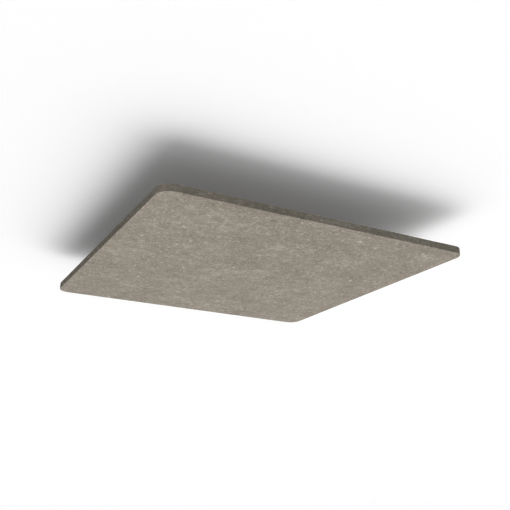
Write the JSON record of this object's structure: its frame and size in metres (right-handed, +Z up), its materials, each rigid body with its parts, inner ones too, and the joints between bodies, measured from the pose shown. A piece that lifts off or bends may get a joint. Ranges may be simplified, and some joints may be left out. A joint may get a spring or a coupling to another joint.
{
  "type": "suspended ceiling tile",
  "caption": "Square felt ceiling tile with rounded corners, hung level below a ceiling to absorb sound behind a plain soft face.",
  "frame": {"origin": "centre of the back face, which the hangers hold", "axes": "+Z up out of the back face to the ceiling, so the plain face looks down; +X and +Y along the sides of the square"},
  "size_m": [1.2, 1.2, 0.025],
  "materials": {
    "felt": "matte"
  },
  "bodies": {
    "root": {"felt_tile": "felt"}
  },
  "joints": []
}
